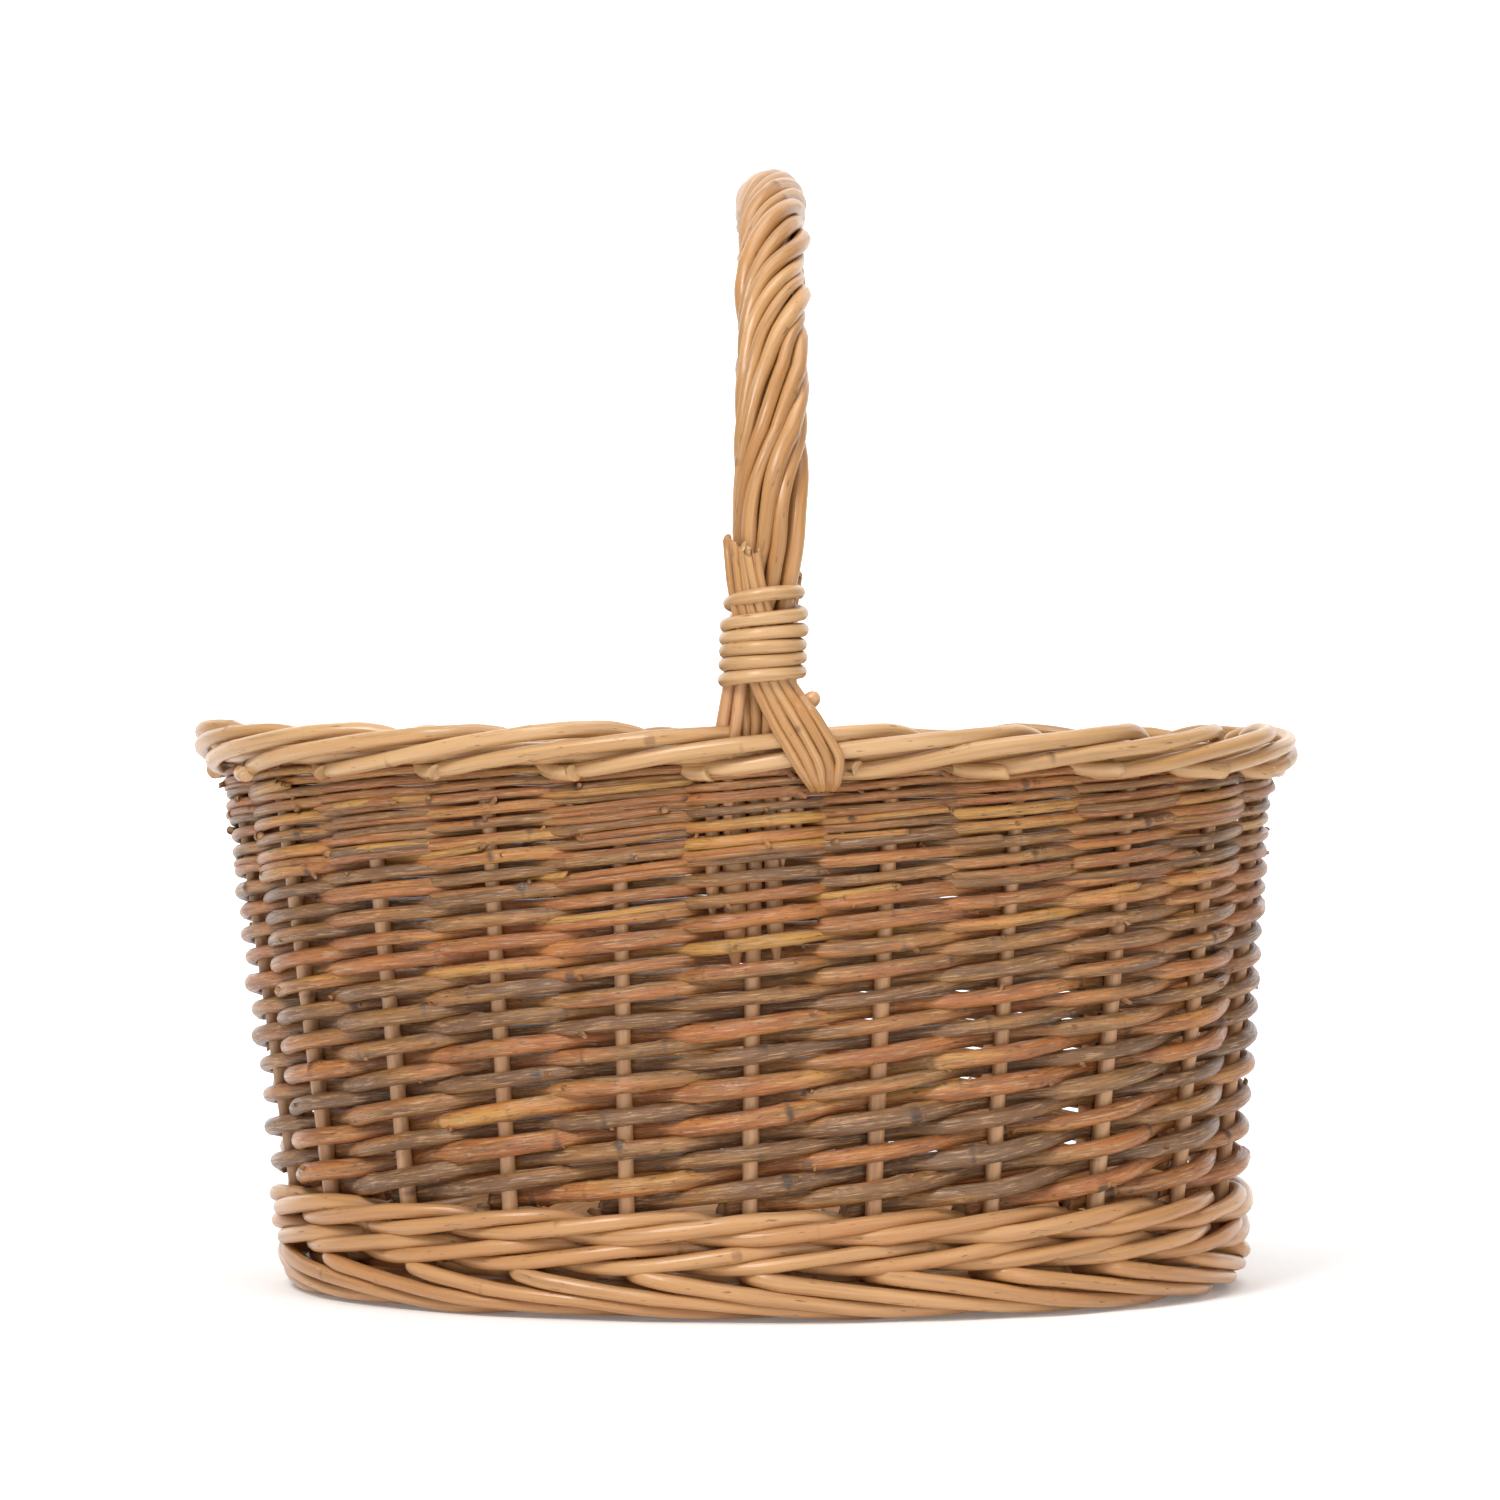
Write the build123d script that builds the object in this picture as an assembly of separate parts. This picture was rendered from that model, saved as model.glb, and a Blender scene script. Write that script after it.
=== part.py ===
"""Woven market basket: oval willow body with a randed wall, a foot and a rolled border, and a
fixed roped handle that arches over the short way.

Millimetres, +Z up. The origin is on the ground at the middle of the basket's bounding box. +X
runs along the long side, and the handle stands in a plane across X. The woven bands are plain
closed rings with the true outer and inner faces; every stake, base stick and leg rod is a solid
of its own, and each band is cut round them.
"""
import os
from math import asin, cos, hypot, pi, sin, sqrt

from build123d import *

os.makedirs("parts", exist_ok=True)

# Wall: an oval that flares from the ground to the underside of the border.
wall_height = 203.0
base_half_length, rim_half_length = 190.0, 210.0  # outer face, on the ground and under the border
oval_ratio = 0.745  # half width over half length
base_centre_x, rim_centre_x = 8.0, 2.0  # the left end flares a little more than the right
foot_top, lower_wale_top, upper_wale_top = 20.0, 30.0, 41.0
wale_proud = 1.5  # how far both wales stand out from the siding
siding_wall_base, siding_wall_top = 19.0, 14.0  # wall thickness
clearance = 0.12  # between a rod and the band that it runs in

# Stakes
stake_count = 22
stake_radius = 3.0
stake_inset_base, stake_inset_top = 10.0, 7.0  # outer face of the wall to the stake's middle
stake_top = 213.0
handle_stake_top = 202.0  # the two stakes that stand beside the handle bow
butt_length, butt_bend = 26.0, 9.0  # the level butt that is pushed into the base
first_stake_x = -5.4  # front stake beside the handle, from the oval's middle
spacing_height = 81.0  # where the stakes are equally spaced
top_shift_all, top_shift_front = 1.45, 6.65  # keeps the stakes upright while the oval's middle moves

# Base
base_level, base_half_thickness = 18.0, 8.0
base_inset = 17.8
long_stick_radius, long_stick_pitch = 3.2, 6.5
cross_stick_radius = 4.6
cross_stick_offsets = (-109.0, -69.0, -24.5, 24.5, 69.0, 109.0)  # from the oval's middle

# Border
border_half_length, border_half_width = 220.0, 165.0
border_top, border_band, border_round = 222.0, 26.0, 7.0

# Handle
handle_x = 11.0
spring_level, handle_half_span, handle_rise = 279.0, 152.0, 150.0  # middle line of the arch
bow_radius, roping_radius = 7.5, 14.9
binding_top = 273.0
bundle_radius, bundle_y, bundle_waist = 11.2, 151.5, 236.0
binding_levels = (237.1, 242.9, 248.7, 254.5, 260.3, 269.6)
leg_radius, leg_tip_radius = 3.0, 2.0
bow_foot, spike_foot, spike_top = 205.0, 90.0, 210.0
lashing_rods, lashing_radius, lashing_pitch = 5, 2.2, 5.15


def wall(z, inset=0.0):
    """Middle x, half length and half width of the wall's outer oval at height z, less inset."""
    share = z / wall_height
    a = base_half_length + (rim_half_length - base_half_length) * share
    return base_centre_x + (rim_centre_x - base_centre_x) * share, a - inset, a * oval_ratio - inset


def oval(z, inset=0.0):
    """The wall's oval at height z as a flat face."""
    x, a, b = wall(z, inset)
    return Pos(x, 0, z) * Ellipse(a, b)


def band(z0, z1, outer0, outer1, inner0, inner1):
    """A closed ring between two heights, with the insets of its outer and inner faces."""
    return loft([oval(z0, outer0), oval(z1, outer1)]) - loft([oval(z0, inner0), oval(z1, inner1)])


def stake_angles(shift_all, shift_front):
    """Oval angle of every stake: equal steps of arc from the front stake, plus a sideways shift."""
    _, a, b = wall(spacing_height, (stake_inset_base + stake_inset_top) / 2)
    steps = 7200
    step = 2 * pi / steps
    start = -pi / 2 + asin(first_stake_x / a)
    lengths = [0.0]
    for k in range(steps):
        t = start + (k + 0.5) * step
        lengths.append(lengths[-1] + hypot(a * sin(t), b * cos(t)) * step)
    found = []
    for i in range(stake_count):
        target = lengths[-1] * i / stake_count
        target += shift_all + shift_front * cos(2 * pi * i / stake_count)
        k = round(target / lengths[-1] * steps)
        while 0 < k <= steps and lengths[k] > target:
            k -= 1
        while 0 <= k < steps and lengths[k + 1] < target:
            k += 1
        span = lengths[k + 1] - lengths[k]
        found.append(start + (k + (target - lengths[k]) / span) * step)
    return found


def on_wall(z, x):
    """Middle of a rod that stands in the wall at height z and sideways position x, front side."""
    inset = stake_inset_base + (stake_inset_top - stake_inset_base) * z / wall_height
    centre, a, b = wall(z, inset)
    return (x, -b * sqrt(1 - ((x - centre) / a) ** 2), z)


def rod(start, end, radius0, radius1):
    """A straight round rod, tapered from radius0 at start to radius1 at end."""
    axis = Vector(*end) - Vector(*start)
    return loft([
        Plane(origin=start, z_dir=axis) * Circle(radius0),
        Plane(origin=end, z_dir=axis) * Circle(radius1),
    ])


def tube(path, radius):
    """A round rod of one radius along a path."""
    return sweep(Plane(origin=path @ 0, z_dir=path % 0) * Circle(radius), path=path)


def stake(foot_angle, top_angle, top, radius):
    """A stake: level butt in the base, a bend, and the straight run up the wall."""
    corner_x, a, b = wall(base_level, stake_inset_base)
    corner = (corner_x + a * cos(foot_angle), b * sin(foot_angle), base_level)
    top_x, a, b = wall(wall_height, stake_inset_top)
    rim = (top_x + a * cos(top_angle), b * sin(top_angle), wall_height)
    share = (top - base_level) / (wall_height - base_level)
    end = tuple(c + (r - c) * share for c, r in zip(corner, rim))
    if abs(sin(foot_angle)) > 0.6:
        butt = (corner[0], corner[1] - butt_length * (1 if corner[1] > 0 else -1), base_level)
    else:
        butt = (corner[0] - butt_length * (1 if cos(foot_angle) > 0 else -1), corner[1], base_level)
    return tube(FilletPolyline(butt, corner, end, radius=butt_bend), radius)


def turned(shape):
    """The same shape on the basket's back, turned half round the handle's upright axis."""
    return Pos(handle_x, 0, 0) * Rot(0, 0, 180) * Pos(-handle_x, 0, 0) * shape


parts = {}

# Stakes, numbered from the one in front of the handle, to the right as seen from outside.
feet, tops = stake_angles(0, 0), stake_angles(top_shift_all, top_shift_front)
stake_holes = []
for i, (foot_angle, top_angle) in enumerate(zip(feet, tops)):
    top = handle_stake_top if i in (0, stake_count // 2) else stake_top
    parts[f"stake_{i + 1:02d}"] = stake(foot_angle, top_angle, top, stake_radius)
    stake_holes.append(stake(foot_angle, top_angle, top, stake_radius + clearance))

# Base: a slath of long sticks through split cross sticks, woven over into an oval disc.
base_x, base_a, base_b = wall(base_level, base_inset)
long_holes = []
for k in (-1, 0, 1):
    y = k * long_stick_pitch
    half = base_a * sqrt(1 - (y / base_b) ** 2) - 3
    ends = (base_x - half, y, base_level), (base_x + half, y, base_level)
    parts[f"base_long_stick_{k + 2}"] = rod(*ends, long_stick_radius, long_stick_radius)
    hole = long_stick_radius + clearance
    long_holes.append(rod(*ends, hole, hole))
cross_holes = []
for k, offset in enumerate(cross_stick_offsets):
    half = base_b * sqrt(1 - (offset / base_a) ** 2) - 3
    ends = (base_x + offset, -half, base_level), (base_x + offset, half, base_level)
    stick = rod(*ends, cross_stick_radius, cross_stick_radius)
    parts[f"base_cross_stick_{k + 1}"] = stick - long_holes
    hole = cross_stick_radius + clearance
    cross_holes.append(rod(*ends, hole, hole))
disc = Pos(base_x, 0, base_level - base_half_thickness) * Ellipse(base_a, base_b)
disc = extrude(disc, 2 * base_half_thickness)
parts["base_weave"] = disc - long_holes - cross_holes - stake_holes

# Handle bow: a round arch with a thin pointed spike in the wall at each end.
leg = [on_wall(z, handle_x) for z in (bow_foot, border_top + 3)]
arch = []
for k in range(13):
    t = pi * k / 12
    arch.append((handle_x, -handle_half_span * cos(t), spring_level + handle_rise * sin(t)))
line = leg + arch + [(x, -y, z) for x, y, z in reversed(leg)]
bow_path = Spline(*line)
front_spike = rod(on_wall(spike_foot, 12.0), on_wall(spike_top, 13.5), 2.3, 4.4)
back_spike = turned(rod(on_wall(spike_foot, 18.0), on_wall(spike_top, 16.2), 2.3, 4.0))
parts["handle_bow"] = tube(bow_path, bow_radius) + front_spike + back_spike
bow_hole = tube(bow_path, bow_radius + clearance)
spike_holes = [
    rod(on_wall(spike_foot - 1, 12.0), on_wall(spike_top + 1, 13.5), 2.45, 4.55),
    turned(rod(on_wall(spike_foot - 1, 18.0), on_wall(spike_top + 1, 16.2), 2.45, 4.15)),
]

# Roping: the rods laid round the bow, from one binding over the top to the other.
above_binding = Pos(handle_x, 0, binding_top + 250) * Box(100, 500, 500)
parts["handle_roping"] = (tube(bow_path, roping_radius) & above_binding) - bow_hole

# Leg rods: the ends of the roping, bundled round the bow, then pushed down beside the stake.
leg_holes = []
legs = {
    "front": (((-11.5, 78.0), (-4.4, 108.0), (21.5, 82.0), (28.5, 118.0)), lambda shape: shape),
    "back": (((-7.4, 84.0), (-0.3, 112.0), (23.8, 80.0), (31.0, 116.0)), turned),
}
flare = loft([
    Pos(handle_x - 3, -150.6, border_top + 0.2) * Ellipse(19, 8.6),
    Pos(handle_x, -bundle_y, bundle_waist) * Circle(bundle_radius),
])
neck_height = binding_top - bundle_waist
neck = Pos(handle_x, -bundle_y, bundle_waist + neck_height / 2) * Cylinder(bundle_radius, neck_height)
for side, (places, put) in legs.items():
    solids = [put(flare + neck) - bow_hole]
    for x, foot in places:
        solids.append(put(rod(on_wall(foot, x), on_wall(border_top - 0.1, x), leg_tip_radius, leg_radius)))
        hole = on_wall(foot - 1, x), on_wall(border_top + 1, x)
        leg_holes.append(put(rod(*hole, leg_tip_radius + clearance, leg_radius + clearance)))
    parts[f"{side}_leg_rods"] = Compound(children=solids)

# Binding: six turns round the foot of the roping, the top one a little apart.
turns = []
for z in binding_levels:
    section = Plane.XZ * Pos(bundle_radius + 2.3, z) * Ellipse(2.15, 3.0)
    turns.append(Pos(handle_x, -bundle_y, 0) * revolve(section, Axis.Z, 360))
binding = turns[0]
for ring in turns[1:]:
    binding += ring
parts["front_binding"] = binding
parts["back_binding"] = turned(binding)

# Lashing: five thin rods from under the binding, slanting down over the border and under it.
lashing = []
for k in range(lashing_rods):
    x = handle_x - 16 + lashing_pitch * k
    path = Spline(
        (x, -166.4, 230.5), (x + 5, -168.7, 222.0), (x + 12, -168.3, 211.0), (x + 18, -162.2, 200.0)
    )
    lashing.append(tube(path, lashing_radius))
parts["front_lashing"] = Compound(children=lashing)
parts["back_lashing"] = Compound(children=[turned(cord) for cord in lashing])

# Woven bands, each cut round the rods that it holds.
foot = band(0, foot_top, 0.0, -0.5, 16.5, 16.5)
wale_inset = base_inset - 0.4
lower_wale = band(foot_top, lower_wale_top, -wale_proud, -wale_proud, wale_inset, wale_inset)
upper_wale = band(
    lower_wale_top, upper_wale_top, -wale_proud, -wale_proud, siding_wall_base, siding_wall_base
)
siding = band(upper_wale_top, wall_height, 0.0, 0.0, siding_wall_base, siding_wall_top)
ring = Ellipse(border_half_length, border_half_width)
ring -= Ellipse(border_half_length - border_band, border_half_width - border_band)
border = Pos(0, 0, wall_height) * extrude(ring, border_top - wall_height)
border = fillet(border.edges().filter_by(GeomType.ELLIPSE), border_round)
parts["foot_border"] = foot - stake_holes
parts["lower_wale"] = lower_wale - stake_holes
parts["upper_wale"] = upper_wale - stake_holes
parts["siding_weave"] = siding - stake_holes - leg_holes - spike_holes
parts["rim_border"] = border - stake_holes - leg_holes - bow_hole - spike_holes

for name, solid in parts.items():
    export_step(solid, f"parts/{name}.step")
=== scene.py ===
"""Woven market basket in willow: the looks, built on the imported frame.

Every rod is a tube of numpy rings carried along its own path. Paths on the wall are worked out in
the maker's own terms: how many stakes along, how far outside the stakes' middles, and how high.
Lengths in the functions are millimetres; only the mesh maker turns them into metres.
"""
import math

import bpy
import numpy as np
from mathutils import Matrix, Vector


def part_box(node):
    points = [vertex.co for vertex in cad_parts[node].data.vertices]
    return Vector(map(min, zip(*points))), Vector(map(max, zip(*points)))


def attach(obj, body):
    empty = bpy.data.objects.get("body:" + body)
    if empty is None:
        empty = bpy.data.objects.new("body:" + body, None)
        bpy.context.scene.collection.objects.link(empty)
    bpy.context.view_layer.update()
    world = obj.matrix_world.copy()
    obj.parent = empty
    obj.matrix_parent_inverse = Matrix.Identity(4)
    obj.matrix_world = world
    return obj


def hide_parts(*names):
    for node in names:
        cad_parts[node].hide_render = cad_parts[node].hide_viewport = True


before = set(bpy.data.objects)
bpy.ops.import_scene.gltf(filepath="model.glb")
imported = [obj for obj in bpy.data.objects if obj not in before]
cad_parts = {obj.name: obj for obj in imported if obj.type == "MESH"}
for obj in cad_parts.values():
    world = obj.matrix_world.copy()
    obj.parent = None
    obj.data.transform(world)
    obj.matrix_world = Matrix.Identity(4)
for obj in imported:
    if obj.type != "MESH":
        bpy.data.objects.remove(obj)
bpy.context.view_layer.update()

METRE = 0.001
TURN = 2 * math.pi

# ---------------------------------------------------------------- sizes, from the frame
STAKES = 22
BAY = 48  # about how far apart the stakes stand


def box_mm(node):
    """Lowest and highest corner of a CAD node in millimetres."""
    low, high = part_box(node)
    return np.array(low) * 1000, np.array(high) * 1000


FOOT_LOW, FOOT_HIGH = box_mm("foot_border")
SIDING_LOW, SIDING_HIGH = box_mm("siding_weave")
BORDER_HIGH = box_mm("rim_border")[1]
BASE_LOW, BASE_HIGH = box_mm("base_weave")
ROPING_LOW, ROPING_HIGH = box_mm("handle_roping")
BINDING_LOW, BINDING_HIGH = box_mm("front_binding")
STICK_LOW, STICK_HIGH = box_mm("base_long_stick_2")

FOOT_TOP, WALL_TOP = FOOT_HIGH[2], SIDING_HIGH[2]
BORDER_TOP = BORDER_HIGH[2]
BASE_LEVEL = (STICK_LOW[2] + STICK_HIGH[2]) / 2
HANDLE_X = (ROPING_LOW[0] + ROPING_HIGH[0]) / 2
HANDLE_TOP = ROPING_HIGH[2]
BINDING_BOTTOM = BINDING_LOW[2]
BUNDLE_Y = -(BINDING_LOW[1] + BINDING_HIGH[1]) / 2

STAKE_RADIUS = 3.0
STAKE_INSET = (10.0, 7.0)  # outer face of the wall to the stakes' middles, at the ground and the top
FIRST_STAKE_X = -5.4  # the front stake beside the handle, from the oval's middle
SPACING_HEIGHT = 81.0
TOP_SHIFT_ALL, TOP_SHIFT_FRONT = 1.45, 6.65
BUTT_LENGTH, BUTT_BEND = 26.0, 9.0
THICK_STAKE = 3


# ---------------------------------------------------------------- camera, light and floor
def add_camera():
    """A long lens level with the border, straight in front of the basket."""
    data = bpy.data.cameras.new("camera")
    data.lens, data.sensor_width = 114.5, 36.0
    camera = bpy.data.objects.new("camera", data)
    camera.location = (0.0026, -1.9, 0.2119)
    camera.rotation_euler = (math.pi / 2, 0, 0)
    bpy.context.scene.collection.objects.link(camera)
    bpy.context.scene.camera = camera


def add_softbox(name, place, aim, size, power):
    """A square area light at place, turned towards aim."""
    data = bpy.data.lights.new(name, "AREA")
    data.shape, data.size, data.energy = "SQUARE", size, power
    light = bpy.data.objects.new(name, data)
    light.location = place
    light.rotation_euler = (Vector(aim) - Vector(place)).to_track_quat("-Z", "Y").to_euler()
    bpy.context.scene.collection.objects.link(light)


def add_room():
    """A pale floor that runs level and then curves up as a quarter circle into a bright wall far
    behind, white surroundings, and three softboxes."""
    climb = np.linspace(0, math.pi / 2, 18)
    depth = np.concatenate([[-4.0], 2.2 + 1.6 * np.sin(climb), [3.8]])
    height = np.concatenate([[0.0], 1.6 - 1.6 * np.cos(climb), [6.0]])
    across = np.array([-5.0, 5.0])
    points = np.stack(np.broadcast_arrays(across[:, None], depth[None], height[None]), -1)
    index = np.arange(2 * len(depth)).reshape(2, len(depth))
    faces = np.stack([index[0, :-1], index[1, :-1], index[1, 1:], index[0, 1:]], -1)
    mesh = bpy.data.meshes.new("floor")
    mesh.from_pydata(points.reshape(-1, 3).tolist(), [], faces.tolist())
    mesh.polygons.foreach_set("use_smooth", np.ones(len(mesh.polygons), bool))
    floor = bpy.data.objects.new("floor", mesh)
    bpy.context.scene.collection.objects.link(floor)
    paint = Finish("floor_white")
    place = paint.node("ShaderNodeTexCoord").outputs["Object"]
    back = paint.node("ShaderNodeSeparateXYZ", Vector=place).outputs[1]
    paint.put(paint.shader.inputs["Emission Strength"], paint.span(back, 0.5, 2.4, 0.13, 0.9))
    paint.shader.inputs["Base Color"].default_value = (0.92, 0.92, 0.92, 1)
    paint.shader.inputs["Roughness"].default_value = 0.9
    paint.shader.inputs["Emission Color"].default_value = (1, 1, 1, 1)
    mesh.materials.append(paint.material)
    world = bpy.data.worlds.new("surroundings")
    world.use_nodes = True
    world.node_tree.nodes["Background"].inputs["Color"].default_value = (1, 1, 1, 1)
    world.node_tree.nodes["Background"].inputs["Strength"].default_value = 0.34
    bpy.context.scene.world = world
    add_softbox("key", (-0.9, -1.7, 1.9), (0, 0, 0.15), 0.8, 42)
    add_softbox("top", (0.3, -0.3, 2.4), (0, 0, 0.1), 1.6, 25)
    add_softbox("fill", (1.6, -2.3, 0.9), (0, 0, 0.15), 1.4, 17)
    bpy.context.scene.view_settings.view_transform = "Standard"


# ---------------------------------------------------------------- curves and noise
def through(at, knots, values):
    """Smooth curve through values at knots: cubic pieces whose slope at each knot is the slope
    between its two neighbours."""
    knots, values = np.asarray(knots, float), np.asarray(values, float)
    slope = np.gradient(values, knots, axis=0)
    i = np.clip(np.searchsorted(knots, at, side="right") - 1, 0, len(knots) - 2)
    span = knots[i + 1] - knots[i]
    t = (at - knots[i]) / span
    shape = (-1,) + (1,) * (values.ndim - 1)
    t, span = t.reshape(shape), span.reshape(shape)
    start, end = values[i], values[i + 1]
    lean0, lean1 = slope[i] * span, slope[i + 1] * span
    a = 2 * (start - end) + lean0 + lean1
    b = 3 * (end - start) - 2 * lean0 - lean1
    return ((a * t + b) * t + lean0) * t + start


def drift(at, wavelength, luck):
    """Smooth noise between about -1 and 1: four sines near a wavelength, with random phases."""
    waves = wavelength * luck.uniform(0.6, 1.7, 4)
    phases = luck.uniform(0, TURN, 4)
    return np.sin(TURN * np.asarray(at)[..., None] / waves + phases).sum(-1) / 2.2


def closed_drift(around, at, luck):
    """Smooth noise over the whole wall that meets itself: sines in whole turns round the basket."""
    turns = np.array([2, 3, 5, 7])
    phases = luck.uniform(0, TURN, 4)
    climb = luck.uniform(-0.05, 0.05, 4)
    return np.sin(TURN * around[..., None] / STAKES * turns + climb * at[..., None] + phases).sum(-1) / 2.2


# ---------------------------------------------------------------- the wall's own coordinates
def wall_oval(z):
    """Middle x, half length and half width of the stakes' oval at height z: straight lines from the
    foot to the underside of the border."""
    share = (np.asarray(z, float) - FOOT_TOP) / (WALL_TOP - FOOT_TOP)
    foot_middle, top_middle = (FOOT_LOW + FOOT_HIGH) / 2, (SIDING_LOW + SIDING_HIGH) / 2
    foot_half, top_half = (FOOT_HIGH - FOOT_LOW) / 2 - 0.5, (SIDING_HIGH - SIDING_LOW) / 2
    inset = STAKE_INSET[0] + (STAKE_INSET[1] - STAKE_INSET[0]) * np.asarray(z, float) / WALL_TOP
    middle = foot_middle[0] + (top_middle[0] - foot_middle[0]) * share
    half_length = foot_half[0] + (top_half[0] - foot_half[0]) * share - inset
    half_width = foot_half[1] + (top_half[1] - foot_half[1]) * share - inset
    return middle, half_length, half_width


def angle_table(shift_all, shift_front):
    """Oval angle at every tenth of a stake: equal steps of arc from the front stake, plus the shift
    that keeps the stakes upright while the oval's middle moves sideways."""
    _, a, b = wall_oval(SPACING_HEIGHT)
    start = -math.pi / 2 + math.asin(FIRST_STAKE_X / a)
    angles = start + np.linspace(0, 2 * TURN, 14401) - TURN / 2
    middles = (angles[1:] + angles[:-1]) / 2
    steps = np.hypot(a * np.sin(middles), b * np.cos(middles)) * (angles[1] - angles[0])
    lengths = np.concatenate([[0], np.cumsum(steps)])
    lengths -= np.interp(start, angles, lengths)
    round_trip = np.interp(start + TURN, angles, lengths)
    stakes = np.arange(0, STAKES * 10 + 1) / 10
    target = round_trip * stakes / STAKES + shift_all + shift_front * np.cos(TURN * stakes / STAKES)
    return np.interp(target, lengths, angles)


FOOT_ANGLES, TOP_ANGLES = angle_table(0, 0), angle_table(TOP_SHIFT_ALL, TOP_SHIFT_FRONT)


def oval_angle(stake, z):
    """Oval angle at a stake number, whole or part, at height z: a straight line up the wall."""
    stake = np.asarray(stake, float)
    lap = np.floor(stake / STAKES)
    part = (stake - lap * STAKES) * 10
    tenths = np.arange(STAKES * 10 + 1)
    foot, top = np.interp(part, tenths, FOOT_ANGLES), np.interp(part, tenths, TOP_ANGLES)
    share = (z - BASE_LEVEL) / (WALL_TOP - BASE_LEVEL)
    return foot + (top - foot) * share + lap * TURN


def on_wall(stake, out, z):
    """Points at a stake number, a distance outside the stakes' middles, and a height."""
    stake, out, z = np.broadcast_arrays(*(np.asarray(v, float) for v in (stake, out, z)))
    middle, a, b = wall_oval(z)
    t = oval_angle(stake, z)
    outwards = np.stack([np.cos(t) / a, np.sin(t) / b], -1)
    outwards /= np.linalg.norm(outwards, axis=-1, keepdims=True)
    x = middle + a * np.cos(t) + out * outwards[..., 0]
    y = b * np.sin(t) + out * outwards[..., 1]
    return np.stack([x, y, z], -1)


# ---------------------------------------------------------------- rods
UP = np.array([0.0, 0.0, 1.0])
ROUND = 10  # sides of a rod


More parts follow.
